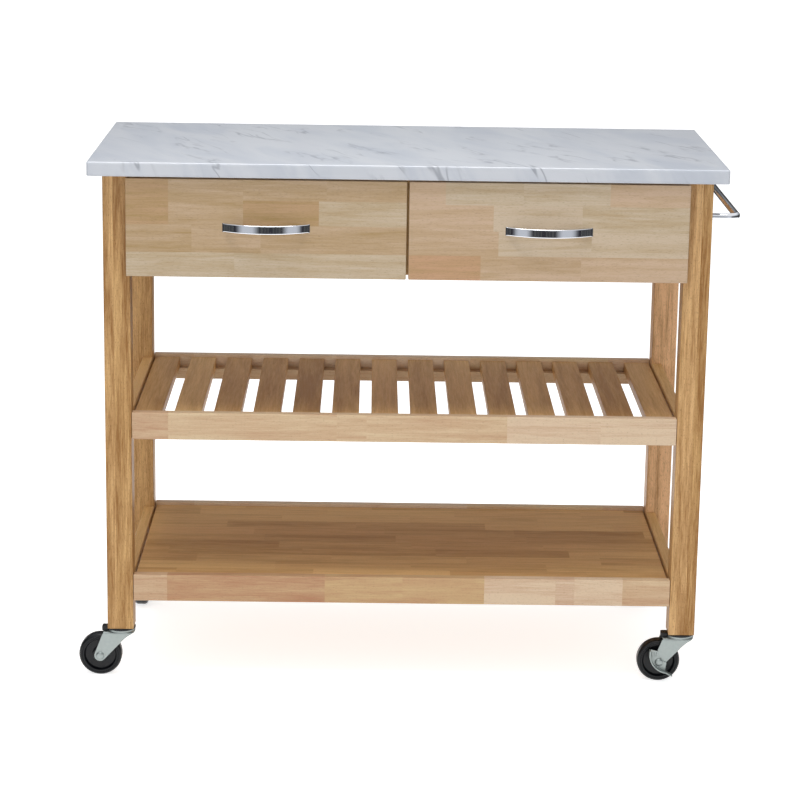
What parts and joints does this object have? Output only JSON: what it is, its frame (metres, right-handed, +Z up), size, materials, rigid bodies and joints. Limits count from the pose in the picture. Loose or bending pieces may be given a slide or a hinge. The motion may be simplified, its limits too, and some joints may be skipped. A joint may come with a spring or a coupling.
{
  "type": "kitchen cart",
  "caption": "Kitchen cart with a marble-look worktop, drawers with bow handles, a slatted shelf, a solid shelf, a towel bar at one side and swivel casters.",
  "frame": {"origin": "on the floor, midway between the cart's ends and between the handles' fronts and the worktop's back edge", "axes": "+Z up, +X to the right along the worktop, the drawers open towards -Y"},
  "size_m": [1.1275, 0.516, 0.912],
  "materials": {
    "worktop_laminate": "satin marble-look laminate, cool white with soft grey veins",
    "leg_wood": "oiled, warm tan, upright grain",
    "front_wood": "oiled finger-jointed staves, pale, level grain",
    "frame_wood": "oiled, plain grain",
    "shelf_wood": "oiled staves, grain along the slats and the panel",
    "box_wood": "plain sanded",
    "chrome": "polished",
    "steel": "plated",
    "zinc": "bright zinc-plated pressed steel",
    "cover_plastic": "black moulded",
    "wheel_plastic": "black moulded, satin"
  },
  "bodies": {
    "root": {"worktop": "worktop_laminate", "leg_front_left": "leg_wood", "leg_front_right": "leg_wood", "leg_back_left": "leg_wood", "leg_back_right": "leg_wood", "side_apron_left": "frame_wood", "side_apron_right": "frame_wood", "back_apron": "frame_wood", "top_front_rail": "frame_wood", "top_cleats": "frame_wood", "drawer_divider": "frame_wood", "drawer_runners": "box_wood", "middle_front_rail": "front_wood", "middle_back_rail": "front_wood", "middle_side_rails": "frame_wood", "middle_slats": "shelf_wood", "lower_front_rail": "front_wood", "lower_back_rail": "front_wood", "lower_side_rails": "frame_wood", "lower_shelf_panel": "shelf_wood", "shelf_cleats": "box_wood", "towel_bar": "chrome", "towel_bar_screws": "steel", "frame_bolts": "steel", "barrel_nuts": "steel", "dowels": "box_wood", "worktop_screws": "steel", "caster_stems": "zinc", "swivel_balls": "chrome"},
    "drawer_left": {"drawer_left_front": "front_wood", "drawer_left_sides": "box_wood", "drawer_left_ends": "box_wood", "drawer_left_bottom": "box_wood", "drawer_left_handle": "chrome", "drawer_left_handle_screws": "steel"},
    "drawer_right": {"drawer_right_front": "front_wood", "drawer_right_sides": "box_wood", "drawer_right_ends": "box_wood", "drawer_right_bottom": "box_wood", "drawer_right_handle": "chrome", "drawer_right_handle_screws": "steel"},
    "caster_front_left": {"fork_front_left": "zinc", "fork_cover_front_left": "cover_plastic", "axle_front_left": "zinc"},
    "roller_front_left": {"wheel_front_left": "wheel_plastic"},
    "caster_front_right": {"fork_front_right": "zinc", "fork_cover_front_right": "cover_plastic", "axle_front_right": "zinc"},
    "roller_front_right": {"wheel_front_right": "wheel_plastic"},
    "rocker_front_right": {"brake_front_right": "zinc"},
    "caster_back_left": {"fork_back_left": "zinc", "fork_cover_back_left": "cover_plastic", "axle_back_left": "zinc"},
    "roller_back_left": {"wheel_back_left": "wheel_plastic"},
    "rocker_back_left": {"brake_back_left": "zinc"},
    "caster_back_right": {"fork_back_right": "zinc", "fork_cover_back_right": "cover_plastic", "axle_back_right": "zinc"},
    "roller_back_right": {"wheel_back_right": "wheel_plastic"}
  },
  "joints": [
    {"name": "drawer_left_slide", "type": "slide", "parent": "root", "child": "drawer_left", "axis": [0, -1, 0], "range_m": [0, 0.3]},
    {"name": "drawer_right_slide", "type": "slide", "parent": "root", "child": "drawer_right", "axis": [0, -1, 0], "range_m": [0, 0.3]},
    {"name": "swivel_front_left", "type": "hinge", "parent": "root", "child": "caster_front_left", "pos_m": [-0.4895, -0.1935, 0.08], "axis": [0, 0, 1], "continuous": true},
    {"name": "roll_front_left", "type": "hinge", "parent": "caster_front_left", "child": "roller_front_left", "pos_m": [-0.5265, -0.1935, 0.0375], "axis": [0, 1, 0], "continuous": true},
    {"name": "swivel_front_right", "type": "hinge", "parent": "root", "child": "caster_front_right", "pos_m": [0.4895, -0.1935, 0.08], "axis": [0, 0, 1], "continuous": true},
    {"name": "roll_front_right", "type": "hinge", "parent": "caster_front_right", "child": "roller_front_right", "pos_m": [0.4525, -0.1935, 0.0375], "axis": [0, 1, 0], "continuous": true},
    {"name": "brake_front_right", "type": "hinge", "parent": "caster_front_right", "child": "rocker_front_right", "pos_m": [0.4525, -0.1935, 0.0375], "axis": [0, -1, 0], "range_deg": [0, 15]},
    {"name": "swivel_back_left", "type": "hinge", "parent": "root", "child": "caster_back_left", "pos_m": [-0.4895, 0.2335, 0.08], "axis": [0, 0, 1], "continuous": true},
    {"name": "roll_back_left", "type": "hinge", "parent": "caster_back_left", "child": "roller_back_left", "pos_m": [-0.4895, 0.1965, 0.0375], "axis": [-1, 0, 0], "continuous": true},
    {"name": "brake_back_left", "type": "hinge", "parent": "caster_back_left", "child": "rocker_back_left", "pos_m": [-0.4895, 0.1965, 0.0375], "axis": [1, 0, 0], "range_deg": [0, 15]},
    {"name": "swivel_back_right", "type": "hinge", "parent": "root", "child": "caster_back_right", "pos_m": [0.4895, 0.2335, 0.08], "axis": [0, 0, 1], "continuous": true},
    {"name": "roll_back_right", "type": "hinge", "parent": "caster_back_right", "child": "roller_back_right", "pos_m": [0.4525, 0.2335, 0.0375], "axis": [0, 1, 0], "continuous": true}
  ]
}
